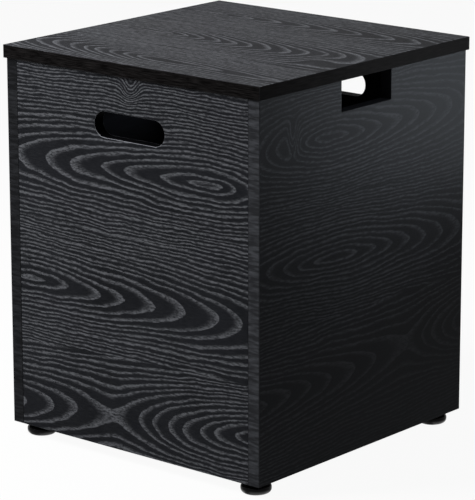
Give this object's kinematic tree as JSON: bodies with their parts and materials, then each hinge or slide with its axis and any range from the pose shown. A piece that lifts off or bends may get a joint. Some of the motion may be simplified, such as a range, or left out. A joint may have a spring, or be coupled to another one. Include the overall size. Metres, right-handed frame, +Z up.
{
  "type": "propane tank cover table",
  "caption": "Square side table of black grained boards that stands over a gas cylinder, with a loose lid, carrying slots, a hose notch and levelling feet.",
  "frame": {"origin": "on the floor under the middle of the table", "axes": "+Z up; -Y is the front panel with a carrying slot, +X the side panel with the hose notch"},
  "size_m": [0.4, 0.4, 0.49],
  "materials": {
    "grained_board": "black oak grain foil on board, satin, embossed",
    "edge_band": "matt black edge band with a faint grain",
    "black_board": "black stained batten, matt",
    "dowel_wood": "plain beech",
    "zinc": "zinc plated, satin",
    "black_steel": "black powder coat, satin",
    "foot_plastic": "black moulded plastic, glossy"
  },
  "bodies": {
    "cabinet": {"front_panel": "grained_board", "back_panel": "grained_board", "left_panel": "grained_board", "right_panel": "grained_board", "left_panel_front_band": "edge_band", "left_panel_back_band": "edge_band", "right_panel_front_band": "edge_band", "right_panel_back_band": "edge_band", "cam_locks": "zinc", "cam_bolts": "zinc", "dowels": "dowel_wood", "corner_plate_front_left": "black_steel", "corner_plate_front_right": "black_steel", "corner_plate_back_right": "black_steel", "corner_plate_back_left": "black_steel"},
    "lid": {"lid_board": "grained_board", "lid_front_band": "edge_band", "lid_right_band": "edge_band", "lid_back_band": "edge_band", "lid_left_band": "edge_band", "lid_front_cleat": "black_board", "lid_back_cleat": "black_board"},
    "foot_pad_front_left": {"foot_pad_front_left": "foot_plastic"},
    "foot_stem_front_left": {"foot_stem_front_left": "zinc"},
    "foot_pad_front_right": {"foot_pad_front_right": "foot_plastic"},
    "foot_stem_front_right": {"foot_stem_front_right": "zinc"},
    "foot_pad_back_right": {"foot_pad_back_right": "foot_plastic"},
    "foot_stem_back_right": {"foot_stem_back_right": "zinc"},
    "foot_pad_back_left": {"foot_pad_back_left": "foot_plastic"},
    "foot_stem_back_left": {"foot_stem_back_left": "zinc"}
  },
  "joints": [
    {"name": "lid_lift", "type": "slide", "parent": "cabinet", "child": "lid", "axis": [0, 0, 1], "range_m": [0, 0.06]},
    {"name": "foot_slide_front_left", "type": "slide", "parent": "cabinet", "child": "foot_pad_front_left", "axis": [0, 0, -1], "range_m": [0, 0.01]},
    {"name": "foot_turn_front_left", "type": "hinge", "parent": "foot_pad_front_left", "child": "foot_stem_front_left", "pos_m": [-0.1725, -0.1725, 0.02], "axis": [0, 0, -1], "range_deg": [0, 2890]},
    {"name": "foot_slide_front_right", "type": "slide", "parent": "cabinet", "child": "foot_pad_front_right", "axis": [0, 0, -1], "range_m": [0, 0.01]},
    {"name": "foot_turn_front_right", "type": "hinge", "parent": "foot_pad_front_right", "child": "foot_stem_front_right", "pos_m": [0.1725, -0.1725, 0.02], "axis": [0, 0, -1], "range_deg": [0, 2890]},
    {"name": "foot_slide_back_right", "type": "slide", "parent": "cabinet", "child": "foot_pad_back_right", "axis": [0, 0, -1], "range_m": [0, 0.01]},
    {"name": "foot_turn_back_right", "type": "hinge", "parent": "foot_pad_back_right", "child": "foot_stem_back_right", "pos_m": [0.1725, 0.1725, 0.02], "axis": [0, 0, -1], "range_deg": [0, 2890]},
    {"name": "foot_slide_back_left", "type": "slide", "parent": "cabinet", "child": "foot_pad_back_left", "axis": [0, 0, -1], "range_m": [0, 0.01]},
    {"name": "foot_turn_back_left", "type": "hinge", "parent": "foot_pad_back_left", "child": "foot_stem_back_left", "pos_m": [-0.1725, 0.1725, 0.02], "axis": [0, 0, -1], "range_deg": [0, 2890]}
  ],
  "couplings": [
    {"joint": "foot_turn_front_left", "follows": "foot_slide_front_left", "rad_per_m": 5026.5},
    {"joint": "foot_turn_front_right", "follows": "foot_slide_front_right", "rad_per_m": 5026.5},
    {"joint": "foot_turn_back_right", "follows": "foot_slide_back_right", "rad_per_m": 5026.5},
    {"joint": "foot_turn_back_left", "follows": "foot_slide_back_left", "rad_per_m": 5026.5}
  ]
}
